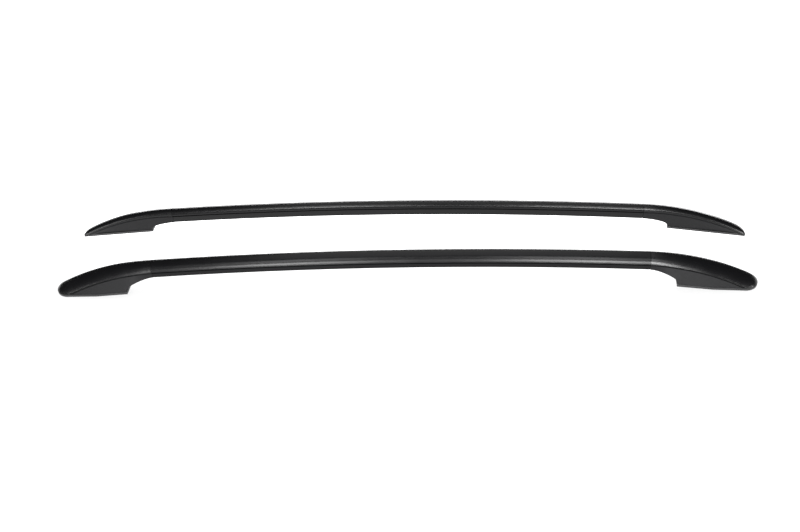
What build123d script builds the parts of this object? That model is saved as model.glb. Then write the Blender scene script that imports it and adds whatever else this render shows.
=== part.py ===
from build123d import *
import os
from collections import namedtuple
from math import acos, asin, cos, degrees, radians, sin, sqrt, tan

# Lengthwise layout, in millimetres. The front of the car is +X and up is +Z.
# The bar rises towards the front by its pitch, and the seam height is that of its two ends on average.
# The rails close up towards the front: each one is turned inwards by the toe angle.
bar_length = 1206.0
arch_radius = 10400.0
bar_pitch = 0.41
seam_height = 89.0
apex_spacing = 210.0
toe_angle = 0.6
seam_gap = 0.8

# Cross-section, measured from the apex line. Inner means towards the other rail.
crown_inner_reach = 10.0
crown_inner_drop = 16.0
crown_outer_reach = 24.3
crown_outer_drop = 21.0
bar_height = 36.5
bar_inner_bottom = 7.0
bar_outer_bottom = 21.5
bar_corner_radius = 1.2
bar_wall = 2.2
bar_floor = 3.0
groove_height = 2.6
groove_depth = 2.4
lip_chamfer = 0.8

# End feet. The front foot is taller and sweeps down more steeply; the rear one runs level for longer.
front_lead = 0.5
rear_lead = 16.5
front_bend_angle = 26.3
rear_bend_angle = 24.6
front_arch_length = 64.5
rear_arch_length = 67.5
front_base_tilt = 7.0
rear_base_tilt = 4.6
arch_corner_drop = 13.0
bend_radius = 540.0
nose_radius = 38.0
nose_inner_drop = 9.5
nose_outer_reach = 36.0
base_inner_reach = 1.5
base_outer_reach = 44.0
nose_base_outer_reach = 37.0
nose_base_inner_reach = 4.0
nose_shoulder = 110.0
pinch_start = 0.6
rim_edge_radius = 1.0
rim_allowance = 1.0
foot_wall = 5.0
core_inner_lean = 9.0
core_outer_lean = 28.5
core_roof_drop = 14.0
core_nose_margin = 45.0
core_nose_wall = 8.0
tip_overrun = 4.0
station_spacing = 16.0

# Tenon of each foot inside the bar
tenon_length = 60.0
tenon_clearance = 0.3

# Gasket and base plate under each foot
gasket_height = 6.0
gasket_lip = 1.0
gasket_width = 7.0
plate_thickness = 4.4
plate_clearance = 0.4
key_width = 4.0
key_length = 18.0
key_depth = 1.2

# Ribs and bosses inside each foot
rib_thickness = 2.2
rib_spacing = 30.0
boss_radius = 4.5

# Countersunk screws
screw_radius = 2.1
screw_head_radius = 3.9
screw_length = 14.0
screw_fit = 0.03
screw_sink = 0.2
seat_depth = 0.1
hole_clearance = 0.25
recess_width = 0.9
recess_length = 4.2
recess_depth = 1.2
bar_screw_offsets = (18.0, 42.0)
plate_screw_count = 3
plate_screw_nose_margin = 50.0
plate_screw_arch_margin = 20.0

# Derived layout
seam_angle = degrees(asin(bar_length / 2 / arch_radius))
inner_taper = (crown_inner_reach - bar_inner_bottom) / (bar_height - crown_inner_drop)
outer_taper = (crown_outer_reach - bar_outer_bottom) / (bar_height - crown_outer_drop)
bar_middle = (bar_inner_bottom - bar_outer_bottom) / 2
base_middle = (base_inner_reach - base_outer_reach) / 2
bar_rise = bar_length / 2 * sin(radians(bar_pitch))
bar_half_run = bar_length / 2 * cos(radians(bar_pitch))

# One record a foot: its sizes, and the height and the downward slope of the bar at its seam
Foot = namedtuple("Foot", "lead bend_angle arch_length base_tilt height slope")
front = Foot(
    front_lead,
    front_bend_angle,
    front_arch_length,
    front_base_tilt,
    seam_height + bar_rise,
    seam_angle - bar_pitch,
)
rear = Foot(
    rear_lead,
    rear_bend_angle,
    rear_arch_length,
    rear_base_tilt,
    seam_height - bar_rise,
    seam_angle + bar_pitch,
)


def smooth(value):
    """Ease from 0 to 1 without a kink at either end."""
    share = min(1.0, max(0.0, value))
    return share * share * (3 - 2 * share)


def blend(start, end, share):
    """Value between start and end."""
    return start + (end - start) * share


def nose_centre(foot):
    """Centre of the nose arc in the seam frame of a foot."""
    reach = bend_radius - nose_radius
    angle = radians(foot.bend_angle)
    return foot.lead + reach * sin(angle), reach * cos(angle) - bend_radius


def tip_slope(foot):
    """Slope of the nose where its apex line meets the rim of the foot."""
    x, z = nose_centre(foot)
    height = foot.height + z * cos(radians(foot.slope)) - x * sin(radians(foot.slope))
    return degrees(acos((gasket_height - height) / nose_radius)) - foot.slope


def tip_point(foot):
    """Tip of the nose in the seam frame of a foot."""
    x, z = nose_centre(foot)
    slope = radians(tip_slope(foot))
    return x + nose_radius * sin(slope), z + nose_radius * cos(slope)


def rim_fall(foot):
    """Angle of the rim in the seam frame, falling towards the tip."""
    return radians(foot.base_tilt - foot.slope)


def rim_plane(foot):
    """Plane of the foot's lower rim, facing down, with x running inboard from the tip."""
    x, z = tip_point(foot)
    fall = rim_fall(foot)
    return Plane((x, 0, z), x_dir=(-cos(fall), 0, sin(fall)), z_dir=(-sin(fall), 0, -cos(fall)))


def base_length(foot):
    """Length of the rim from the tip to the corner of the arch."""
    return (tip_point(foot)[0] - foot.arch_length) / cos(rim_fall(foot))


def sweep_end(foot):
    """Length of the apex line from the seam to the start of the nose."""
    return foot.lead + radians(foot.bend_angle) * bend_radius


def apex_point(foot, along):
    """Point and slope of the apex line of a foot, at a length from the seam."""
    if along <= foot.lead:
        return along, 0.0, 0.0
    if along <= sweep_end(foot):
        slope = (along - foot.lead) / bend_radius
        return foot.lead + bend_radius * sin(slope), bend_radius * (cos(slope) - 1), slope
    x, z = nose_centre(foot)
    slope = radians(foot.bend_angle) + (along - sweep_end(foot)) / nose_radius
    return x + nose_radius * sin(slope), z + nose_radius * cos(slope), slope


def rim_drop(foot, along):
    """Distance from the apex line down to the rim, in the plane across the foot."""
    x, z, slope = apex_point(foot, along)
    tip_x, tip_z = tip_point(foot)
    fall = tan(rim_fall(foot))
    return (z - tip_z - fall * (tip_x - x)) / (cos(slope) + fall * sin(slope))


def station(foot, along):
    """Plane across a foot, and the sizes of its section there."""
    x, z, slope = apex_point(foot, along)
    plane = Plane((x, 0, z), x_dir=(0, 1, 0), z_dir=(cos(slope), 0, -sin(slope)))
    depth = max(rim_drop(foot, along), crown_outer_drop) + rim_allowance
    share = min(1.0, along / sweep_end(foot))
    inner_drop = blend(crown_inner_drop, nose_inner_drop, share)
    outer_reach = blend(crown_outer_reach, nose_outer_reach, share)
    flare = smooth(along / foot.arch_length)
    pinch = smooth((share - pinch_start) / (1 - pinch_start))
    base_outer = blend(base_outer_reach, nose_base_outer_reach, pinch)
    seam_inner = crown_inner_reach - inner_taper * (depth - crown_inner_drop)
    seam_outer = crown_outer_reach - outer_taper * (depth - crown_outer_drop)
    inner_foot = blend(seam_inner, base_inner_reach, flare)
    outer_foot = blend(seam_outer, base_outer, flare)
    return plane, (inner_drop, outer_reach, inner_foot, outer_foot, depth)


def foot_stations(foot):
    """Evenly spaced stations from the seam to a little past the tip of the nose."""
    nose_turn = tip_slope(foot) + tip_overrun - foot.bend_angle
    last = sweep_end(foot) + radians(nose_turn) * nose_radius
    count = round(last / station_spacing)
    return [station(foot, last * index / count) for index in range(count + 1)]


def outline(inner_drop, outer_reach, inner_foot, outer_foot, depth, inset=0.0, neck=0.0):
    """Closed outline of a domed rail section, drawn down from the apex line."""
    apex = (0, -inset)
    inner_lip = (crown_inner_reach - inset - neck, -inner_drop)
    outer_lip = (-outer_reach + inset + neck, -crown_outer_drop)
    inner_end = (inner_foot - inset, -depth)
    outer_end = (-outer_foot + inset, -depth)
    TangentArc(apex, inner_lip, tangent=(1, 0))
    TangentArc(apex, outer_lip, tangent=(-1, 0))
    Line(inner_lip, inner_end)
    Line(outer_lip, outer_end)
    Line(inner_end, outer_end)


def groove(lip_reach, lip_drop, side):
    """Closed outline of the shadow groove under one lip of the crown."""
    floor = side * (lip_reach - groove_depth)
    edge = side * (lip_reach - lip_chamfer)
    mouth = side * (lip_reach + groove_depth)
    Polyline(
        (floor, -lip_drop),
        (edge, -lip_drop),
        (mouth, -lip_drop + lip_chamfer + groove_depth),
        (mouth, -lip_drop - groove_height),
        (floor, -lip_drop - groove_height),
        close=True,
    )


def bar_section(inset, neck, floor):
    """Closed outline of the bar's section, or of a section inside it."""
    outline(
        crown_inner_drop,
        crown_outer_reach,
        bar_inner_bottom,
        bar_outer_bottom,
        bar_height - floor,
        inset,
        neck,
    )


def arch_region(foot, grow=0.0):
    """Closed outline of the open arch between the bar and the base, seen from the side."""
    tip_x, tip_z = tip_point(foot)
    corner = tip_z + tan(rim_fall(foot)) * (tip_x - foot.arch_length)
    spring = corner + arch_corner_drop
    reach = foot.arch_length + grow
    crown = grow - bar_height
    floor = corner - bar_height
    EllipticalCenterArc((0, spring), reach, crown - spring, 0, arc_size=90)
    Polyline((0, crown), (-reach, crown), (-reach, floor), (reach, floor), (reach, spring))


def bar_screw_planes(centre, seam, end):
    """Planes on the underside of the bar, facing down, one for each screw at one seam."""
    planes = []
    for inboard in bar_screw_offsets:
        angle = end * (seam - inboard / arch_radius)
        up = Vector(sin(angle), 0, cos(angle))
        seat = centre + Vector(0, bar_middle, 0) + up * (arch_radius - bar_height + seat_depth)
        planes.append(Plane(seat, x_dir=(0, 1, 0), z_dir=-up))
    return planes


def plate_screw_planes(foot):
    """Planes on the lower face of the base plate, facing down, one for each screw."""
    rim = rim_plane(foot)
    last = base_length(foot) - plate_screw_arch_margin
    planes = []
    for index in range(plate_screw_count):
        along = blend(plate_screw_nose_margin, last, index / (plate_screw_count - 1))
        seat = rim.from_local_coords(Vector(along, base_middle, plate_thickness))
        planes.append(Plane(seat, x_dir=rim.x_dir, z_dir=rim.z_dir))
    return planes


def make_bar():
    """Hollow arched bar of the right rail, built about the centre of its arc."""
    half_angle = radians(seam_angle) - seam_gap / arch_radius
    start = Vector(-sin(half_angle), 0, cos(half_angle)) * arch_radius
    plane = Plane(start, x_dir=(0, 1, 0), z_dir=(cos(half_angle), 0, sin(half_angle)))
    with BuildPart() as bar:
        with BuildSketch(plane) as section_sketch:
            with BuildLine():
                bar_section(0, 0, 0)
            make_face()
            fillet(section_sketch.vertices().group_by(Axis.Y)[0], bar_corner_radius)
            with BuildLine():
                groove(crown_inner_reach, crown_inner_drop, 1)
            make_face(mode=Mode.SUBTRACT)
            with BuildLine():
                groove(crown_outer_reach, crown_outer_drop, -1)
            make_face(mode=Mode.SUBTRACT)
            with BuildLine():
                bar_section(bar_wall, groove_depth, bar_floor)
            make_face(mode=Mode.SUBTRACT)
        revolve(axis=Axis.Y, revolution_arc=degrees(2 * half_angle))
        for end in (1, -1):
            with Locations(*bar_screw_planes(Vector(0, 0, 0), radians(seam_angle), end)):
                CounterSinkHole(screw_radius + hole_clearance, screw_head_radius, 2 * bar_floor, 90)
    return bar.part


def core_outline(inner_foot, outer_foot):
    """Closed outline across the hollow of a foot, standing on the rim."""
    inner_top = inner_foot + bar_height * tan(radians(core_inner_lean))
    outer_top = outer_foot - bar_height * tan(radians(core_outer_lean))
    Polyline(
        (inner_foot, 0),
        (inner_top, bar_height),
        (-outer_top, bar_height),
        (-outer_foot, 0),
        close=True,
    )


def make_core(foot):
    """Hollows inside a foot, clear of its walls, arch, ribs and screw bosses."""
    rim = rim_plane(foot)
    start = rim.from_local_coords(Vector(core_nose_margin, 0, 0))
    nose_end = Plane(start, x_dir=(0, 1, 0), z_dir=-rim.x_dir)
    length = base_length(foot) - core_nose_margin
    inner_foot = base_inner_reach - foot_wall
    with BuildPart() as core:
        with BuildSketch(nose_end):
            with BuildLine():
                core_outline(inner_foot, nose_base_outer_reach - core_nose_wall)
            make_face()
        with BuildSketch(nose_end.offset(-length)):
            with BuildLine():
                core_outline(inner_foot, base_outer_reach - foot_wall)
            make_face()
        loft(ruled=True)
        with BuildSketch(Plane.XZ):
            with Locations((foot.lead, -bend_radius)):
                Circle(bend_radius - core_roof_drop)
        extrude(amount=base_outer_reach, both=True, mode=Mode.INTERSECT)
        with BuildSketch(Plane.XZ):
            with BuildLine():
                arch_region(foot, foot_wall)
            make_face()
        extrude(amount=base_outer_reach, both=True, mode=Mode.SUBTRACT)
        for index in range(int(length // rib_spacing)):
            with BuildSketch(nose_end.offset(-(index + 1) * rib_spacing)):
                Rectangle(2 * base_outer_reach, 2 * seam_height)
            extrude(amount=rib_thickness, mode=Mode.SUBTRACT)
        for plane in plate_screw_planes(foot):
            with BuildSketch(plane):
                Circle(boss_radius)
        extrude(amount=seam_height, both=True, mode=Mode.SUBTRACT)
    return core.part


def make_body(foot):
    """Outer form of a foot with its grooves, its rim and its arch, still solid."""
    stations = foot_stations(foot)
    with BuildPart() as body:
        for plane, sizes in stations:
            with BuildSketch(plane):
                with BuildLine():
                    outline(*sizes)
                make_face()
        loft()
        for plane, sizes in stations:
            with BuildSketch(plane):
                with BuildLine():
                    groove(crown_inner_reach, sizes[0], 1)
                make_face()
        loft(mode=Mode.SUBTRACT)
        for plane, sizes in stations:
            with BuildSketch(plane):
                with BuildLine():
                    groove(sizes[1], crown_outer_drop, -1)
                make_face()
        loft(mode=Mode.SUBTRACT)
        split(bisect_by=rim_plane(foot), keep=Keep.BOTTOM)
        with BuildSketch(Plane.XZ):
            with BuildLine():
                arch_region(foot)
            make_face()
        extrude(amount=2 * base_outer_reach, both=True, mode=Mode.SUBTRACT)
    return body.part


def make_foot(foot):
    """One-piece foot: the hollow shell, its ribs and bosses, and its tenon."""
    body = make_body(foot)
    core = make_core(foot)
    arc_axis = Axis((0, 0, -arch_radius), (0, 1, 0))
    fit = bar_wall + tenon_clearance
    with BuildPart() as shell:
        add(body)
        add(core, mode=Mode.SUBTRACT)
        with BuildSketch(Plane.YZ):
            with BuildLine():
                bar_section(fit, groove_depth, bar_floor + tenon_clearance)
            make_face()
        revolve(axis=arc_axis, revolution_arc=-degrees(tenon_length / arch_radius))
        with Locations(*bar_screw_planes(Vector(0, 0, -arch_radius), 0, 1)):
            Hole(screw_radius + screw_fit, screw_length)
        with Locations(*plate_screw_planes(foot)):
            Hole(screw_radius + screw_fit, screw_length)
    return shell.part


def rim_sketch(foot, margin):
    """Outline of the rim, drawn inside it by an even margin."""
    length = base_length(foot) - margin
    outer = margin - base_outer_reach
    inner = base_inner_reach - margin
    nose_inner = nose_base_inner_reach - margin
    round_radius = nose_base_outer_reach - margin
    diagonal = round_radius * sin(radians(45))
    start = (nose_base_outer_reach - sqrt(round_radius**2 - nose_inner**2), nose_inner)
    middle = (nose_base_outer_reach - diagonal, -diagonal)
    end = (nose_base_outer_reach, -round_radius)
    with BuildSketch(rim_plane(foot)) as rim:
        with BuildLine():
            ThreePointArc(start, middle, end)
            Polyline(end, (nose_shoulder, outer), (length, outer), (length, inner), start)
        make_face()
        fillet(rim.vertices().group_by(Axis.X)[0], max(nose_inner / 2, rim_edge_radius))
        fillet(rim.vertices().group_by(Axis.X)[-1], rim_edge_radius)
    return rim.sketch


def make_gasket(foot):
    """Rubber seal under the rim, with a lip outside it."""
    down = rim_plane(foot).z_dir
    outside = rim_sketch(foot, -gasket_lip)
    window = rim_sketch(foot, gasket_width - gasket_lip)
    with BuildPart() as gasket:
        extrude(outside, amount=gasket_height, dir=down)
        extrude(window, amount=gasket_height, dir=down, mode=Mode.SUBTRACT)
    return gasket.part


def make_plate(foot):
    """Bonding plate inside the gasket, with countersunk holes and adhesive keys."""
    down = rim_plane(foot).z_dir
    planes = plate_screw_planes(foot)
    panel = rim_sketch(foot, gasket_width - gasket_lip + plate_clearance)
    with BuildPart() as plate:
        extrude(panel, amount=plate_thickness, dir=down)
        with Locations(*planes):
            CounterSinkHole(screw_radius + hole_clearance, screw_head_radius, 2 * plate_thickness, 90)
        for first, second in zip(planes, planes[1:]):
            for share in (1 / 3, 2 / 3):
                seat = first.origin + (second.origin - first.origin) * share
                with BuildSketch(Plane(seat, x_dir=first.x_dir, z_dir=first.z_dir)):
                    SlotOverall(key_length, key_width, rotation=90)
        extrude(amount=-key_depth, mode=Mode.SUBTRACT)
    return plate.part


def make_screw():
    """Countersunk screw standing on its head, its axis along Z."""
    flat = screw_head_radius - screw_sink
    with BuildPart() as screw:
        with BuildSketch(Plane.XZ):
            with BuildLine():
                Polyline(
                    (0, -screw_sink),
                    (flat, -screw_sink),
                    (screw_radius, -screw_sink - flat + screw_radius),
                    (screw_radius, -screw_length + screw_radius),
                    (0, -screw_length),
                    close=True,
                )
            make_face()
        revolve(axis=Axis.Z)
        with BuildSketch(Plane.XY.offset(-screw_sink)):
            Rectangle(recess_length, recess_width)
            Rectangle(recess_width, recess_length)
        extrude(amount=-recess_depth, mode=Mode.SUBTRACT)
    return screw.part


def make_screws(screw, planes):
    """Set of screws driven in from the given planes."""
    with BuildPart() as screws:
        with Locations(*planes):
            add(screw)
    return screws.part


def foot_set(foot):
    """All pieces at one end of a rail, in the seam frame of the foot."""
    screw = make_screw()
    return {
        "foot": make_foot(foot),
        "gasket": make_gasket(foot),
        "base_plate": make_plate(foot),
        "bar_screws": make_screws(screw, bar_screw_planes(Vector(0, 0, -arch_radius), 0, 1)),
        "plate_screws": make_screws(screw, plate_screw_planes(foot)),
    }


def tip_reach(foot):
    """Distance from the seam to the tip of the nose, level with the ground."""
    x, z = tip_point(foot)
    return x * cos(radians(foot.slope)) + z * sin(radians(foot.slope))


def save(part, node):
    """Name one solid and write it to its own file."""
    with BuildPart() as piece:
        add(part)
    piece.part.label = node
    export_step(piece.part, f"parts/{node}.step")


os.makedirs("parts", exist_ok=True)
bar_centre = (tip_reach(rear) - tip_reach(front)) / 2
arc_drop = arch_radius * cos(radians(seam_angle))
bar_place = Location((bar_centre, 0, seam_height), (0, -bar_pitch, 0)) * Location((0, 0, -arc_drop))
front_place = Location((bar_centre + bar_half_run, 0, front.height), (0, front.slope, 0))
rear_place = Location((bar_centre - bar_half_run, 0, rear.height), (0, -rear.slope, 0))
right_place = Location((0, -apex_spacing / 2, 0), (0, 0, toe_angle))

nodes = {"bar": make_bar().moved(bar_place)}
for name, piece in foot_set(front).items():
    nodes[f"front_{name}"] = piece.moved(front_place)
for name, piece in foot_set(rear).items():
    nodes[f"rear_{name}"] = mirror(piece, about=Plane.YZ).moved(rear_place)

for name, piece in nodes.items():
    right_piece = piece.moved(right_place)
    save(right_piece, f"right_{name}")
    save(mirror(right_piece, about=Plane.XZ), f"left_{name}")
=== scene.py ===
"""Roof side rail pair: finishes, screws, seals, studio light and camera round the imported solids."""

import logging
import math
from dataclasses import dataclass, fields
from enum import Enum
from typing import Any

import bmesh
import bpy
from mathutils import Matrix, Vector


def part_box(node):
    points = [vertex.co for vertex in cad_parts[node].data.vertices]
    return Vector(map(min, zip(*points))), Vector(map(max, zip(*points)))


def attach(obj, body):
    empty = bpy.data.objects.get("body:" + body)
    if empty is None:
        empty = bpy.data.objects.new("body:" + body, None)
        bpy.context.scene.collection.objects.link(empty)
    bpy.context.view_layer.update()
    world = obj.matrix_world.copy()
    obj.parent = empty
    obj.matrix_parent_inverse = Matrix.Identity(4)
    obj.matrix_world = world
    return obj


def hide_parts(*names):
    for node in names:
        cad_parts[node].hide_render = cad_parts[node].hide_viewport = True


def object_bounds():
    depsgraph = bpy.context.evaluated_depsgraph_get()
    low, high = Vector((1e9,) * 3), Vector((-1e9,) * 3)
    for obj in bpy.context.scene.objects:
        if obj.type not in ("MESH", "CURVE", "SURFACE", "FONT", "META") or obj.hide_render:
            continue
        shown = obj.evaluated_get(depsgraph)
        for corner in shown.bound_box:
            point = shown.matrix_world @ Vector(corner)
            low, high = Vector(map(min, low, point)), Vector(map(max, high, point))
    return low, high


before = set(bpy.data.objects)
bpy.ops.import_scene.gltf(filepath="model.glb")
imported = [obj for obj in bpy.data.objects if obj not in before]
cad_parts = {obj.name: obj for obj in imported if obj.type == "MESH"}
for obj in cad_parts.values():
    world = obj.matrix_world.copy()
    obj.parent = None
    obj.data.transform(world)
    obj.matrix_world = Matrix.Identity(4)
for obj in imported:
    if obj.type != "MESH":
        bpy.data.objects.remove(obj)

log = logging.getLogger("roof_side_rails")

# One millimetre in metres, and the distance under which two corners are taken as one.
MM = 0.001
JOIN_MM = 0.002
# Decimals of a metre to which places are compared.
PLACE_DIGITS = 6
# Band that holds most values of a noise texture.
NOISE_BAND = (0.3, 0.7)
CAD_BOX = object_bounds()
BODY = "root"


class Side(Enum):
    """The two mirrored rails."""

    RIGHT = "right"
    LEFT = "left"


class End(Enum):
    """The two ends of a rail."""

    FRONT = "front"
    REAR = "rear"


def linear(hex_colour: str) -> tuple[float, float, float, float]:
    """Turn an sRGB hex colour into linear light.

    Args:
        hex_colour: Colour written as #rrggbb.

    Returns:
        Red, green, blue and an alpha of one.
    """
    values = [int(hex_colour[i : i + 2], 16) / 255 for i in (1, 3, 5)]
    light = [v / 12.92 if v <= 0.04045 else ((v + 0.055) / 1.055) ** 2.4 for v in values]
    return light[0], light[1], light[2], 1.0


def add_node(
    tree: bpy.types.NodeTree,
    kind: str,
    inputs: dict[Any, Any] | None = None,
    **settings: Any,
) -> bpy.types.Node:
    """Add one node with its settings, its plain values and its links.

    Args:
        tree: Tree that gets the node.
        kind: Blender's name of the node type.
        inputs: Socket name or number, to a value or to the output socket it is linked from.
        settings: Attributes of the node itself.

    Returns:
        The new node.
    """
    node = tree.nodes.new(kind)
    for name, value in settings.items():
        setattr(node, name, value)
    for key, value in (inputs or {}).items():
        if isinstance(value, bpy.types.NodeSocket):
            tree.links.new(value, node.inputs[key])
        else:
            node.inputs[key].default_value = value
    return node


def math_node(tree: bpy.types.NodeTree, operation: str, first: Any, second: Any) -> bpy.types.NodeSocket:
    """Join two values by one operation and give the result's socket."""
    return add_node(tree, "ShaderNodeMath", {0: first, 1: second}, operation=operation).outputs[0]


def lowered(tree: bpy.types.NodeTree, geometry: bpy.types.NodeSocket, drop: Any) -> bpy.types.NodeSocket:
    """Move a geometry down its Z axis.

    Args:
        tree: Tree that gets the nodes.
        geometry: Output socket of the geometry.
        drop: Distance in metres, as a number or as an output socket.

    Returns:
        The output socket of the moved geometry.
    """
    down = add_node(tree, "ShaderNodeCombineXYZ", {"Z": math_node(tree, "MULTIPLY", drop, -1.0)})
    move = {"Geometry": geometry, "Translation": down.outputs["Vector"]}
    return add_node(tree, "GeometryNodeTransform", move).outputs["Geometry"]


def new_material(name: str) -> tuple[bpy.types.Material, bpy.types.NodeTree, bpy.types.Node]:
    """Make a material with an empty Principled shader.

    Args:
        name: Name of the finish.

    Returns:
        The material, its node tree and its shader node.
    """
    material = bpy.data.materials.new(name)
    material.use_nodes = True
    tree = material.node_tree
    tree.nodes.clear()
    shader = add_node(tree, "ShaderNodeBsdfPrincipled")
    add_node(tree, "ShaderNodeOutputMaterial", {"Surface": shader.outputs["BSDF"]})
    return material, tree, shader


@dataclass(frozen=True)
class GrainedFinish:
    """Surface whose gloss wanders a little over an even grain.

    The grain is a bump. The real grain of moulded plastic and of rubber is too fine to show in the render, so it
    is drawn coarser than it is. A slow change of roughness over centimetres breaks up the reflections the way a
    coated or moulded surface does.
    """

    name: str
    colour: str
    worn_colour: str
    roughness: float
    roughness_swing: float
    grain_mm: float
    grain_height_mm: float
    drift_mm: float
    stretch: float = 1.0
    specular: float = 0.5

    def material(self) -> bpy.types.Material:
        """Build the node material of this finish.

        Returns:
            The finished material.
        """
        material, tree, shader = new_material(self.name)
        place = add_node(tree, "ShaderNodeTexCoord").outputs["Object"]
        drift = add_node(
            tree,
            "ShaderNodeTexNoise",
            {"Vector": place, "Scale": 1 / (self.drift_mm * MM), "Detail": 3.0, "Roughness": 0.55},
        )
        gloss = add_node(
            tree,
            "ShaderNodeMapRange",
            {
                "Value": drift.outputs["Fac"],
                "From Min": NOISE_BAND[0],
                "From Max": NOISE_BAND[1],
                "To Min": self.roughness - self.roughness_swing,
                "To Max": self.roughness + self.roughness_swing,
            },
        )
        tint = add_node(
            tree,
            "ShaderNodeMix",
            {"Factor": drift.outputs["Fac"], "A": linear(self.colour), "B": linear(self.worn_colour)},
            data_type="RGBA",
        )
        run = add_node(tree, "ShaderNodeMapping", {"Vector": place, "Scale": (1 / self.stretch, 1.0, 1.0)})
        grain = add_node(
            tree,
            "ShaderNodeTexNoise",
            {"Vector": run.outputs["Vector"], "Scale": 1 / (self.grain_mm * MM), "Detail": 2.0},
        )
        bump = add_node(
            tree,
            "ShaderNodeBump",
            {"Height": grain.outputs["Fac"], "Distance": self.grain_height_mm * MM, "Strength": 1.0},
        )
        tree.links.new(tint.outputs["Result"], shader.inputs["Base Color"])
        tree.links.new(gloss.outputs["Result"], shader.inputs["Roughness"])
        tree.links.new(bump.outputs["Normal"], shader.inputs["Normal"])
        shader.inputs["Specular IOR Level"].default_value = self.specular
        return material


@dataclass(frozen=True)
class PlatedSteel:
    """Zinc-plated steel: a soft grey metal, cloudy from the bath."""

    name: str = "zinc_plated_steel"
    colour: str = "#b9bcc0"
    dull_colour: str = "#8d9094"
    roughness: float = 0.34
    bright_swing: float = 0.08
    dull_swing: float = 0.12
    cloud_mm: float = 1.6

    def material(self) -> bpy.types.Material:
        """Build the node material of the screws.

        Returns:
            The finished material.
        """
        material, tree, shader = new_material(self.name)
        place = add_node(tree, "ShaderNodeTexCoord").outputs["Object"]
        cloud = add_node(
            tree,
            "ShaderNodeTexNoise",
            {"Vector": place, "Scale": 1 / (self.cloud_mm * MM), "Detail": 4.0},
        )
        tint = add_node(
            tree,
            "ShaderNodeMix",
            {"Factor": cloud.outputs["Fac"], "A": linear(self.colour), "B": linear(self.dull_colour)},
            data_type="RGBA",
        )
        gloss = add_node(
            tree,
            "ShaderNodeMapRange",
            {
                "Value": cloud.outputs["Fac"],
                "To Min": self.roughness - self.bright_swing,
                "To Max": self.roughness + self.dull_swing,
            },
        )
        tree.links.new(tint.outputs["Result"], shader.inputs["Base Color"])
        tree.links.new(gloss.outputs["Result"], shader.inputs["Roughness"])
        shader.inputs["Metallic"].default_value = 1.0
        return material


@dataclass(frozen=True)
class Finishes:
    """The finishes of the record's slots, shared by both rails. The feet have two."""

    # Powder-coated aluminium: near-black satin film, a faint orange peel drawn out along the extrusion.
    bar: GrainedFinish = GrainedFinish(
        name="powder_coated_aluminium",
        colour="#070708",
        worn_colour="#0b0b0c",
        roughness=0.25,
        roughness_swing=0.02,
        grain_mm=0.9,
        grain_height_mm=0.005,
        drift_mm=60.0,
        stretch=4.0,
        specular=0.16,
    )
    # Moulded ABS from a satin tool: black crown that reflects a little more than the coat, over a fine grain.
    crown: GrainedFinish = GrainedFinish(
        name="moulded_satin_abs",
        colour="#080809",
        worn_colour="#0b0b0c",
        roughness=0.25,
        roughness_swing=0.02,
        grain_mm=0.7,
        grain_height_mm=0.006,
        drift_mm=35.0,
        specular=0.26,
    )
    # Moulded ABS from a spark-eroded tool: side panels with an even matt grain and only weak, wide highlights.
    skirt: GrainedFinish = GrainedFinish(
        name="spark_grained_abs",
        colour="#111112",
        worn_colour="#151516",
        roughness=0.62,
        roughness_swing=0.03,
        grain_mm=0.6,
        grain_height_mm=0.015,
        drift_mm=30.0,
        specular=0.14,
    )
    # EPDM rubber: extruded seal, charcoal with a slightly lighter bloom.
    gasket: GrainedFinish = GrainedFinish(
        name="extruded_epdm_rubber",
        colour="#161617",
        worn_colour="#1f1f20",
        roughness=0.4,
        roughness_swing=0.06,
        grain_mm=0.5,
        grain_height_mm=0.02,
        drift_mm=12.0,
    )
    # Moulded ABS from a plain tool: bonding plate, matt black with a slightly cloudy flow pattern.
    plate: GrainedFinish = GrainedFinish(
        name="plain_moulded_abs",
        colour="#151516",
        worn_colour="#202021",
        roughness=0.55,
        roughness_swing=0.1,
        grain_mm=0.6,
        grain_height_mm=0.03,
        drift_mm=18.0,
    )
    screw: PlatedSteel = PlatedSteel()


def as_piece(mesh: bpy.types.Mesh, name: str, node: str) -> bpy.types.Object:
    """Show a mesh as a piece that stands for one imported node.

    Args:
        mesh: Finished mesh, in the frame's own place.
        name: Name of the new object.
        node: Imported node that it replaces.

    Returns:
        The new object.
    """
    piece = bpy.data.objects.new(name, mesh)
    bpy.context.scene.collection.objects.link(piece)
    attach(piece, BODY)
    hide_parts(node)
    return piece


def paint(node: str, material: bpy.types.Material) -> None:
    """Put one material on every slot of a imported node.

    Args:
        node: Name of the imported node.
        material: Its finish.
    """
    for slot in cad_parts[node].material_slots:
        slot.material = material
    log.info("%s: %s", node, material.name)


def merged_copy(node: str) -> bmesh.types.BMesh:
    """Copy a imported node's triangles with their shared corners joined.

    Args:
        node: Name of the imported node.

    Returns:
        A new bmesh, which the caller frees.
    """
    mesh = bmesh.new()
    mesh.from_mesh(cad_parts[node].data)
    bmesh.ops.remove_doubles(mesh, verts=mesh.verts, dist=JOIN_MM * MM)
    return mesh


def islands(mesh: bmesh.types.BMesh) -> list[list[Vector]]:
    """Split a mesh into its separate solids, in the order of their first corners.

    Args:
        mesh: Mesh with joined corners.

    Returns:
        The corner points of each solid.
    """
    seen = set()
    found = []
    for start in mesh.verts:
        if start in seen:
            continue
        seen.add(start)
        stack = [start]
        points = []
        while stack:
            vert = stack.pop()
            points.append(vert.co.copy())
            for edge in vert.link_edges:
                other = edge.other_vert(vert)
                if other not in seen:
                    seen.add(other)
                    stack.append(other)
        found.append(points)
    return found


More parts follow.
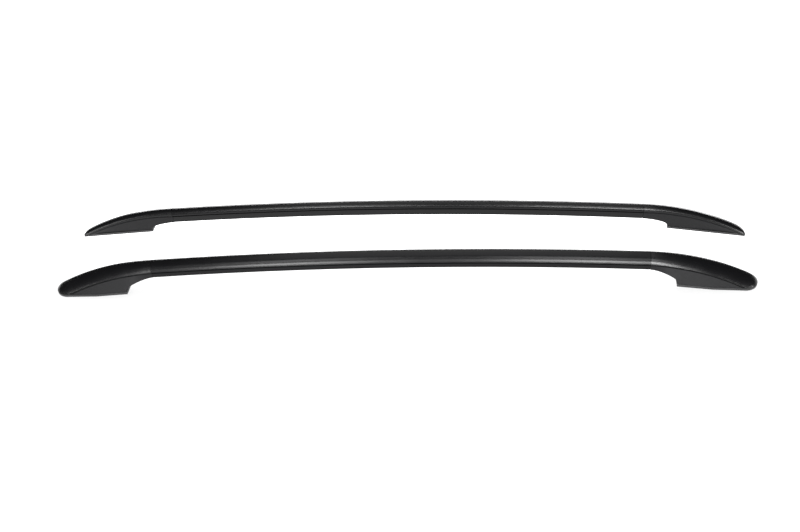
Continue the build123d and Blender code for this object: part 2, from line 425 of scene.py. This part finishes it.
@dataclass
class ScrewKind:
    """Self-tapping countersunk screw with a cross recess, drawn by a node tree and driven into every seat."""

    head_radius_mm: float = 3.7
    head_height_mm: float = 1.6
    crest_radius_mm: float = 2.08
    core_radius_mm: float = 1.6
    pitch_mm: float = 1.4
    length_mm: float = 13.8
    point_mm: float = 2.4
    recess_length_mm: float = 4.2
    recess_width_mm: float = 0.9
    recess_depth_mm: float = 1.3
    # Depths under the top of the head at which the core starts, inside the head, and the thread starts.
    core_start_mm: float = 1.0
    thread_start_mm: float = 2.2
    tip_radius_mm: float = 0.2
    head_sides: int = 40
    shank_sides: int = 28
    turn_steps: int = 20
    ridge_sides: int = 3

    def sizes(self) -> dict[str, float]:
        """Name the sizes that the node tree takes.

        Returns:
            Each input's name and its value in metres.
        """
        sizes_mm = {
            "Head Radius": self.head_radius_mm,
            "Head Height": self.head_height_mm,
            "Crest Radius": self.crest_radius_mm,
            "Core Radius": self.core_radius_mm,
            "Pitch": self.pitch_mm,
            "Length": self.length_mm,
            "Point": self.point_mm,
            "Recess Length": self.recess_length_mm,
            "Recess Width": self.recess_width_mm,
            "Recess Depth": self.recess_depth_mm,
        }
        return {name: value * MM for name, value in sizes_mm.items()}

    def head(self, tree: bpy.types.NodeTree, source: bpy.types.Node) -> bpy.types.NodeSocket:
        """Draw the countersunk head and cut its cross recess.

        Args:
            tree: Tree that gets the nodes.
            source: Group input with the sizes.

        Returns:
            The output socket of the head.
        """
        size = source.outputs
        cone = add_node(
            tree,
            "GeometryNodeMeshCone",
            {
                "Vertices": self.head_sides,
                "Radius Top": size["Head Radius"],
                "Radius Bottom": size["Crest Radius"],
                "Depth": size["Head Height"],
            },
        )
        blank = lowered(tree, cone.outputs["Mesh"], size["Head Height"])
        cut = add_node(
            tree,
            "GeometryNodeMeshBoolean",
            {"Mesh 1": blank},
            operation="DIFFERENCE",
            solver="EXACT",
        )
        for width, length in (("Recess Width", "Recess Length"), ("Recess Length", "Recess Width")):
            depth = math_node(tree, "MULTIPLY", size["Recess Depth"], 2.0)
            block = add_node(tree, "ShaderNodeCombineXYZ", {"X": size[width], "Y": size[length], "Z": depth})
            slot = add_node(tree, "GeometryNodeMeshCube", {"Size": block.outputs["Vector"]})
            tree.links.new(slot.outputs["Mesh"], cut.inputs["Mesh 2"])
        return cut.outputs["Mesh"]

    def shank(
        self,
        tree: bpy.types.NodeTree,
        source: bpy.types.Node,
        core_end: bpy.types.NodeSocket,
    ) -> tuple[bpy.types.NodeSocket, bpy.types.NodeSocket]:
        """Draw the core of the shank and its point.

        Args:
            tree: Tree that gets the nodes.
            source: Group input with the sizes.
            core_end: Depth at which the core ends and the point starts.

        Returns:
            The output sockets of the core and of the point.
        """
        size = source.outputs
        start = self.core_start_mm * MM
        core = add_node(
            tree,
            "GeometryNodeMeshCylinder",
            {
                "Vertices": self.shank_sides,
                "Radius": size["Core Radius"],
                "Depth": math_node(tree, "SUBTRACT", core_end, start),
            },
        )
        middle = math_node(tree, "MULTIPLY", math_node(tree, "ADD", core_end, start), 0.5)
        point = add_node(
            tree,
            "GeometryNodeMeshCone",
            {
                "Vertices": self.shank_sides,
                "Radius Top": size["Core Radius"],
                "Radius Bottom": self.tip_radius_mm * MM,
                "Depth": size["Point"],
            },
        )
        return (
            lowered(tree, core.outputs["Mesh"], middle),
            lowered(tree, point.outputs["Mesh"], size["Length"]),
        )

    def thread(
        self,
        tree: bpy.types.NodeTree,
        source: bpy.types.Node,
        core_end: bpy.types.NodeSocket,
    ) -> bpy.types.NodeSocket:
        """Wind the ridge of the thread round the core.

        Args:
            tree: Tree that gets the nodes.
            source: Group input with the sizes.
            core_end: Depth at which the thread ends.

        Returns:
            The output socket of the thread.
        """
        size = source.outputs
        rise = math_node(tree, "SUBTRACT", size["Crest Radius"], size["Core Radius"])
        length = math_node(tree, "SUBTRACT", core_end, self.thread_start_mm * MM)
        helix = add_node(
            tree,
            "GeometryNodeCurveSpiral",
            {
                "Resolution": self.turn_steps,
                "Rotations": math_node(tree, "DIVIDE", length, size["Pitch"]),
                "Start Radius": size["Core Radius"],
                "End Radius": size["Core Radius"],
                "Height": length,
            },
        )
        ridge = add_node(
            tree,
            "GeometryNodeCurvePrimitiveCircle",
            {"Resolution": self.ridge_sides, "Radius": rise},
            mode="RADIUS",
        )
        wound = add_node(
            tree,
            "GeometryNodeCurveToMesh",
            {"Curve": helix.outputs["Curve"], "Profile Curve": ridge.outputs["Curve"], "Fill Caps": True},
        )
        return lowered(tree, wound.outputs["Mesh"], core_end)

    def tree(self, material: bpy.types.Material) -> bpy.types.NodeTree:
        """Build the node tree that puts a screw on every point of a mesh, along its axis attribute.

        Args:
            material: Finish of the screws.

        Returns:
            A geometry node tree with named inputs for the sizes.
        """
        tree = bpy.data.node_groups.new("driven_screws", "GeometryNodeTree")
        face = tree.interface
        face.new_socket("Seats", in_out="INPUT", socket_type="NodeSocketGeometry")
        face.new_socket("Screws", in_out="OUTPUT", socket_type="NodeSocketGeometry")
        for name, value in self.sizes().items():
            socket = face.new_socket(name, in_out="INPUT", socket_type="NodeSocketFloat")
            socket.default_value = value
        source = add_node(tree, "NodeGroupInput")
        core_end = math_node(tree, "SUBTRACT", source.outputs["Length"], source.outputs["Point"])
        screw = add_node(tree, "GeometryNodeJoinGeometry")
        head = self.head(tree, source)
        core, point = self.shank(tree, source, core_end)
        for part in (head, core, point, self.thread(tree, source, core_end)):
            tree.links.new(part, screw.inputs["Geometry"])
        axis = add_node(tree, "GeometryNodeInputNamedAttribute", {"Name": "axis"}, data_type="FLOAT_VECTOR")
        turn = add_node(
            tree,
            "FunctionNodeAlignRotationToVector",
            {"Vector": axis.outputs["Attribute"]},
            axis="Z",
        )
        driven = add_node(
            tree,
            "GeometryNodeInstanceOnPoints",
            {
                "Points": source.outputs["Seats"],
                "Instance": screw.outputs["Geometry"],
                "Rotation": turn.outputs["Rotation"],
            },
        )
        real = add_node(tree, "GeometryNodeRealizeInstances", {"Geometry": driven.outputs["Instances"]})
        coated = add_node(
            tree,
            "GeometryNodeSetMaterial",
            {"Geometry": real.outputs["Geometry"], "Material": material},
        )
        add_node(tree, "NodeGroupOutput", {"Screws": coated.outputs["Geometry"]})
        return tree


@dataclass
class ScrewSet:
    """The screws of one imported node, drawn with threads and driven where the solids are."""

    node: str
    # Corners farther from the tip than this share of the length lie on the rim of the head.
    rim_share: float = 0.93
    end_reach_mm: float = 4.0

    def spread(self, points: list[Vector], end: Vector) -> float:
        """Measure how wide a screw is near one of its ends."""
        near = [p for p in points if (p - end).length < self.end_reach_mm * MM]
        return max((p - q).length for p in near for q in near)

    def seats(self) -> bpy.types.Mesh:
        """Find the middle of each screw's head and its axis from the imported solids.

        Returns:
            A mesh of loose points with an axis attribute that points out of each head.
        """
        solid = merged_copy(self.node)
        places, axes = [], []
        for points in islands(solid):
            middle = sum(points, Vector()) / len(points)
            far = max(points, key=lambda p: (p - middle).length)
            other = max(points, key=lambda p: (p - far).length)
            tip = other if self.spread(points, other) < self.spread(points, far) else far
            length = max((p - tip).length for p in points)
            rim = [p for p in points if (p - tip).length > self.rim_share * length]
            seat = sum(rim, Vector()) / len(rim)
            places.append(seat)
            axes.append((seat - tip).normalized())
        solid.free()
        mesh = bpy.data.meshes.new(self.node + "_seats")
        mesh.from_pydata(places, [], [])
        axis = mesh.attributes.new("axis", "FLOAT_VECTOR", "POINT")
        axis.data.foreach_set("vector", [value for direction in axes for value in direction])
        return mesh

    def build(self, tree: bpy.types.NodeTree) -> bpy.types.Object:
        """Drive the screws and turn the result into a plain mesh.

        Args:
            tree: Node tree of the screw.

        Returns:
            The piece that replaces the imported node.
        """
        holder = bpy.data.objects.new(self.node + "_holder", self.seats())
        bpy.context.scene.collection.objects.link(holder)
        holder.modifiers.new("driven_screws", "NODES").node_group = tree
        graph = bpy.context.evaluated_depsgraph_get()
        mesh = bpy.data.meshes.new_from_object(holder.evaluated_get(graph))
        bpy.data.objects.remove(holder)
        return as_piece(mesh, self.node + "_threaded", self.node)


@dataclass
class Seal:
    """Rubber seal under one foot, with the rounded edges of an extruded section."""

    node: str
    edge_radius_mm: float = 1.3
    segments: int = 3
    # Angles between faces, in degrees: merged below the first, rounded above the second, and shaded sharp above
    # the third.
    flat_angle: float = 1.0
    edge_angle: float = 50.0
    shade_angle: float = 35.0

    def build(self, material: bpy.types.Material) -> bpy.types.Object:
        """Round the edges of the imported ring.

        Args:
            material: Finish of the rubber.

        Returns:
            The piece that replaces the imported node.
        """
        ring = merged_copy(self.node)
        flat = math.radians(self.flat_angle)
        bmesh.ops.dissolve_limit(ring, angle_limit=flat, verts=ring.verts, edges=ring.edges)
        limit = math.radians(self.edge_angle)
        bmesh.ops.bevel(
            ring,
            geom=[e for e in ring.edges if e.is_manifold and e.calc_face_angle() > limit],
            offset=self.edge_radius_mm * MM,
            segments=self.segments,
            profile=0.5,
            affect="EDGES",
            clamp_overlap=True,
        )
        bmesh.ops.triangulate(ring, faces=[f for f in ring.faces if len(f.verts) > 4])
        mesh = bpy.data.meshes.new(self.node + "_rounded")
        ring.to_mesh(mesh)
        ring.free()
        mesh.materials.append(material)
        mesh.shade_smooth()
        mesh.set_sharp_from_angle(angle=math.radians(self.shade_angle))
        return as_piece(mesh, self.node + "_rounded", self.node)


def place_key(point: Vector) -> tuple[float, ...]:
    """Round a point, so that corners in the same place compare as equal."""
    return tuple(round(value, PLACE_DIGITS) for value in point)


def share(value: float, start: float, end: float) -> float:
    """Give how far a value has come from start to end, kept between 0 and 1."""
    return min(max((value - start) / (end - start), 0.0), 1.0)


@dataclass(frozen=True)
class Arch:
    """The arch under one foot as it is packed, in metres.

    Lengths along the rail count outwards: out is 1 at the front and -1 at the rear. The upright runs from the rim
    up to the spring, and the curve from there to the top. Edges are the two sides of the upright at its spring,
    and leans are how far each side moves across for each metre of height.
    """

    out: int
    seam: float
    corner: float
    top: float
    spring: float
    rim: float
    edges: tuple[float, float]
    leans: tuple[float, float]
    places: frozenset[tuple[float, ...]]


@dataclass
class FootShell:
    """Moulded foot, with a satin crown above its grooves and grained panels below them."""

    node: str
    bar: str
    # The crown ends at creases sharper than this many degrees, or where its faces stop looking up.
    crease: float = 22.0
    crown_up: float = 0.03
    # Height of the upright that is left between the rim and the curve of the arch.
    upright_mm: float = 3.0
    # Limits on the normals of the arch's faces: across the rail, outwards, up, and inwards for the upright.
    arch_across: float = 0.03
    arch_out: float = 0.02
    arch_up: float = 0.12
    upright_in: float = 0.95
    # The upright lies at least this far from the seam, and the underside is measured this near to it.
    upright_reach_mm: float = 20.0
    seam_reach_mm: float = 8.0
    # Faces this much above the underside belong to the hollow, and places this close count as level.
    hollow_mm: float = 2.0
    level_mm: float = 1.0

    def arch(self, mesh: bpy.types.Mesh) -> Arch:
        """Find the faces of the arch by the way they look, and measure them.

        Args:
            mesh: Copy of the foot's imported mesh.

        Returns:
            The arch's sizes and the places of its corners.
        """
        low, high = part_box(self.bar)
        out = 1 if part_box(self.node)[0].x > 0 else -1
        seam = high.x if out > 0 else -low.x
        level = self.level_mm * MM
        under = [
            face
            for face in mesh.polygons
            if abs(face.normal.y) < self.arch_across
            and face.normal.x * out < self.arch_out
            and face.normal.z < self.arch_up
            and face.center.x * out > seam
        ]
        reach = seam + self.upright_reach_mm * MM
        inward = [f for f in under if f.normal.x * out < -self.upright_in and f.center.x * out > reach]
        corner = min(f.center.x * out for f in inward) + level
        upright = [mesh.vertices[v].co for f in inward if f.center.x * out < corner for v in f.vertices]
        beside = seam + self.seam_reach_mm * MM
        hollow = min(f.center.z for f in under if f.center.x * out < beside) + self.hollow_mm * MM
        faces = [f for f in under if f.center.x * out < corner and f.center.z < hollow]
        points = [mesh.vertices[v].co for f in faces for v in f.vertices]
        spring = max(co.z for co in upright)
        rim = min(co.z for co in upright)
        foot = [co.y for co in upright if co.z < rim + level]
        head = [co.y for co in upright if co.z > spring - level]
        return Arch(
            out=out,
            seam=seam,
            corner=corner,
            top=max(co.z for co in points),
            spring=spring,
            rim=rim,
            edges=(min(head), max(head)),
            leans=((min(foot) - min(head)) / (rim - spring), (max(foot) - max(head)) / (rim - spring)),
            places=frozenset(place_key(co) for co in points),
        )

    def round_arch(self, mesh: bpy.types.Mesh) -> None:
        """Draw the arch under the foot out into one full curve that ends just above the rim.

        The underside keeps its line at the bar, and its side edges slide down the flared walls.

        Args:
            mesh: Copy of the foot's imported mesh, which is changed.
        """
        arch = self.arch(mesh)
        upright = self.upright_mm * MM
        stretch = (arch.top - arch.rim - upright) / (arch.top - arch.spring)
        for vertex in mesh.vertices:
            if place_key(vertex.co) not in arch.places:
                continue
            x, y, z = vertex.co
            if z < arch.spring:
                height = arch.rim + (z - arch.rim) * upright / (arch.spring - arch.rim)
            else:
                height = arch.top - (arch.top - z) * stretch
            lean = arch.leans[0] + (arch.leans[1] - arch.leans[0]) * share(y, *arch.edges)
            along = share(x * arch.out, arch.seam, arch.corner)
            vertex.co = (x, y + lean * (height - z) * along, height)
        log.info("%s: arch from %.1f to %.1f mm high", self.node, arch.rim / MM, arch.top / MM)

    def crown_faces(self) -> set[int]:
        """Spread from the top of the foot over the crown, as far as its sharp lips.

        Returns:
            The numbers of the crown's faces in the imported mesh.
        """
        shell = bmesh.new()
        shell.from_mesh(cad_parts[self.node].data)
        number = shell.faces.layers.int.new("number")
        for face in shell.faces:
            face[number] = face.index
        bmesh.ops.remove_doubles(shell, verts=shell.verts, dist=JOIN_MM * MM)
        reach = [abs(f.calc_center_median().x) for f in shell.faces]
        middle = (min(reach) + max(reach)) / 2
        outboard = [f for f, x in zip(shell.faces, reach) if x > middle]
        stack = [max(outboard, key=lambda f: f.calc_center_median().z)]
        crown = set(stack)
        while stack:
            for edge in stack.pop().edges:
                if not edge.is_manifold or edge.calc_face_angle() > math.radians(self.crease):
                    continue
                fresh = [f for f in edge.link_faces if f not in crown and f.normal.z > self.crown_up]
                crown.update(fresh)
                stack.extend(fresh)
        numbers = {face[number] for face in crown}
        shell.free()
        return numbers

    def build(self, crown: bpy.types.Material, skirt: bpy.types.Material) -> bpy.types.Object:
        """Show the foot with its two grades of mould finish.

        Args:
            crown: Finish above the grooves.
            skirt: Finish of the grooves and everything below them.

        Returns:
            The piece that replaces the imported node.
        """
        on_crown = self.crown_faces()
        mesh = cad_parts[self.node].data.copy()
        mesh.name = self.node + "_moulded"
        self.round_arch(mesh)
        mesh.materials.clear()
        mesh.materials.append(crown)
        mesh.materials.append(skirt)
        grades = [0 if index in on_crown else 1 for index in range(len(mesh.polygons))]
        mesh.polygons.foreach_set("material_index", grades)
        log.info("%s: %d of %d faces on the crown", self.node, len(on_crown), len(grades))
        return as_piece(mesh, mesh.name, self.node)


@dataclass
class FootAssembly:
    """One end of a rail: the moulded foot, its seal, its bonding plate and its screws."""

    side: Side
    end: End

    @property
    def name(self) -> str:
        """First part of the names of this end's nodes."""
        return f"{self.side.value}_{self.end.value}"

    def build(self, screws: bpy.types.NodeTree, made: dict[str, bpy.types.Material]) -> None:
        """Make the foot, the seal and the screws of this end, and dress its plate.

        Args:
            screws: Node tree of the screw.
            made: Material of each finish, by name.
        """
        pieces = [ScrewSet(f"{self.name}_{kind}").build(screws) for kind in ("bar_screws", "plate_screws")]
        pieces.append(Seal(f"{self.name}_gasket").build(made["gasket"]))
        shell = FootShell(f"{self.name}_foot", f"{self.side.value}_bar")
        pieces.append(shell.build(made["crown"], made["skirt"]))
        for piece in pieces:
            log.info("%s: %d faces", piece.name, len(piece.data.polygons))
        paint(f"{self.name}_base_plate", made["plate"])


@dataclass
class Rail:
    """One rail: the arched bar and a foot at each end."""

    side: Side

    def build(self, screws: bpy.types.NodeTree, made: dict[str, bpy.types.Material]) -> None:
        """Dress the bar and make the pieces of both ends.

        Args:
            screws: Node tree of the screw.
            made: Material of each finish, by name.
        """
        paint(f"{self.side.value}_bar", made["bar"])
        for end in End:
            FootAssembly(self.side, end).build(screws, made)


@dataclass(frozen=True)
class SoftLight:
    """Rectangular softbox that faces a point."""

    name: str
    place: tuple[float, float, float]
    aim: tuple[float, float, float]
    size: tuple[float, float]
    power: float

    def build(self) -> bpy.types.Object:
        """Hang the softbox in the scene.

        Returns:
            The light's object.
        """
        lamp = bpy.data.lights.new(self.name, "AREA")
        lamp.shape = "RECTANGLE"
        lamp.size, lamp.size_y = self.size
        lamp.energy = self.power
        light = bpy.data.objects.new(self.name, lamp)
        light.location = self.place
        light.rotation_mode = "QUATERNION"
        light.rotation_quaternion = (Vector(self.aim) - Vector(self.place)).to_track_quat("-Z", "Y")
        bpy.context.scene.collection.objects.link(light)
        return light


@dataclass(frozen=True)
class Studio:
    """White floor with soft lights, and the camera that takes the picture."""

    floor_size: float = 400.0
    # The floor is grey under a white glow, which rises from the first strength to the second between two places
    # in Y.
    floor_colour: str = "#7a7a7a"
    floor_shine: str = "#ffffff"
    floor_glow: tuple[float, float] = (0.8, 2.6)
    floor_rise: tuple[float, float] = (-0.12, 0.22)
    floor_roughness: float = 0.9
    floor_specular: float = 0.1
    room_colour: str = "#5a5a5c"
    room_light: float = 0.5
    image_width_px: int = 800
    sensor_mm: float = 36.0
    camera_place: tuple[float, float, float] = (0.2985, -2.4315, 1.8085)
    camera_heading: float = -7.15
    camera_tilt: float = 36.72
    camera_roll: float = -4.54
    focal_px: float = 1211.0
    lights: tuple[SoftLight, ...] = (
        SoftLight("front_left_softbox", (-0.82, -3.0, 0.53), (-0.3, -0.1, 0.1), (0.54, 1.05), 80.0),
        SoftLight("front_right_softbox", (0.75, -3.0, 0.53), (0.4, -0.1, 0.1), (0.62, 1.05), 104.0),
        SoftLight("upper_left_softbox", (-0.98, -2.82, 2.46), (-0.3, -0.1, 0.1), (0.66, 1.6), 40.0),
        SoftLight("upper_right_softbox", (0.785, -2.82, 2.46), (0.4, -0.1, 0.1), (0.73, 1.6), 46.0),
        SoftLight("overhead_softbox", (0.03, 0.6, 2.4), (0.03, 0.6, 0.0), (2.1, 3.6), 50.0),
        SoftLight("back_wall", (0.0, 2.6, 0.5), (0.0, 0.0, 0.1), (4.0, 0.9), 105.0),
        SoftLight("left_side_panel", (-2.1, -1.0, 0.16), (-0.8, -0.1, 0.05), (1.5, 0.3), 13.0),
        SoftLight("right_side_panel", (2.1, -1.0, 0.16), (0.8, -0.1, 0.05), (1.5, 0.3), 20.0),
    )

    def build(self) -> None:
        """Lay the floor, hang the lights and set up the camera."""
        self.lay_floor()
        self.fill_room()
        for light in self.lights:
            log.info("light %s", light.build().name)
        self.place_camera()

    def floor_material(self) -> bpy.types.Material:
        """Build the floor's finish, whose glow washes out the shadows.

        Returns:
            The finished material.
        """
        material, tree, shader = new_material("glowing_white_floor")
        place = add_node(tree, "ShaderNodeTexCoord").outputs["Object"]
        split = add_node(tree, "ShaderNodeSeparateXYZ", {"Vector": place})
        glow = add_node(
            tree,
            "ShaderNodeMapRange",
            {
                "Value": split.outputs["Y"],
                "From Min": self.floor_rise[0],
                "From Max": self.floor_rise[1],
                "To Min": self.floor_glow[0],
                "To Max": self.floor_glow[1],
            },
        )
        # Painted light: the floor glows, more strongly towards the back. The glow washes out the shadows on it
        # and brightens its reflection in the rails.
        tree.links.new(glow.outputs["Result"], shader.inputs["Emission Strength"])
        shader.inputs["Base Color"].default_value = linear(self.floor_colour)
        shader.inputs["Roughness"].default_value = self.floor_roughness
        shader.inputs["Specular IOR Level"].default_value = self.floor_specular
        shader.inputs["Emission Color"].default_value = linear(self.floor_shine)
        return material

    def lay_floor(self) -> None:
        """Lay a flat floor at the foot of the part."""
        half = self.floor_size / 2
        mesh = bpy.data.meshes.new("white_sweep")
        outline = [(-half, -half, 0), (half, -half, 0), (half, half, 0), (-half, half, 0)]
        mesh.from_pydata(outline, [], [(0, 1, 2, 3)])
        mesh.materials.append(self.floor_material())
        floor = bpy.data.objects.new("white_sweep", mesh)
        floor.location.z = CAD_BOX[0].z
        bpy.context.scene.collection.objects.link(floor)

    def fill_room(self) -> None:
        """Set the dim even light of the room."""
        world = bpy.data.worlds.new("dim_room")
        world.use_nodes = True
        shade = world.node_tree.nodes["Background"].inputs
        shade["Color"].default_value = linear(self.room_colour)
        shade["Strength"].default_value = self.room_light
        bpy.context.scene.world = world
        bpy.context.scene.view_settings.view_transform = "Standard"

    def place_camera(self) -> None:
        """Put the camera where the picture was taken from."""
        angles = (self.camera_heading, self.camera_tilt, self.camera_roll)
        heading, tilt, roll = (math.radians(angle) for angle in angles)
        run = math.cos(tilt)
        forward = Vector((math.sin(heading) * run, math.cos(heading) * run, -math.sin(tilt)))
        level = Vector((math.cos(heading), -math.sin(heading), 0))
        upright = level.cross(forward)
        right = level * math.cos(roll) + upright * math.sin(roll)
        up = upright * math.cos(roll) - level * math.sin(roll)
        lens = bpy.data.cameras.new("camera")
        lens.sensor_width = self.sensor_mm
        lens.lens = self.focal_px * self.sensor_mm / self.image_width_px
        camera = bpy.data.objects.new("camera", lens)
        turn = Matrix((right, up, -forward)).transposed().to_4x4()
        camera.matrix_world = Matrix.Translation(self.camera_place) @ turn
        bpy.context.scene.collection.objects.link(camera)
        bpy.context.scene.camera = camera


def main() -> None:
    finishes = Finishes()
    made = {field.name: getattr(finishes, field.name).material() for field in fields(finishes)}
    screws = ScrewKind().tree(made["screw"])
    for side in Side:
        Rail(side).build(screws, made)
    Studio().build()


if __name__ == "__main__":
    logging.basicConfig(level=logging.INFO, format="%(message)s")
    main()
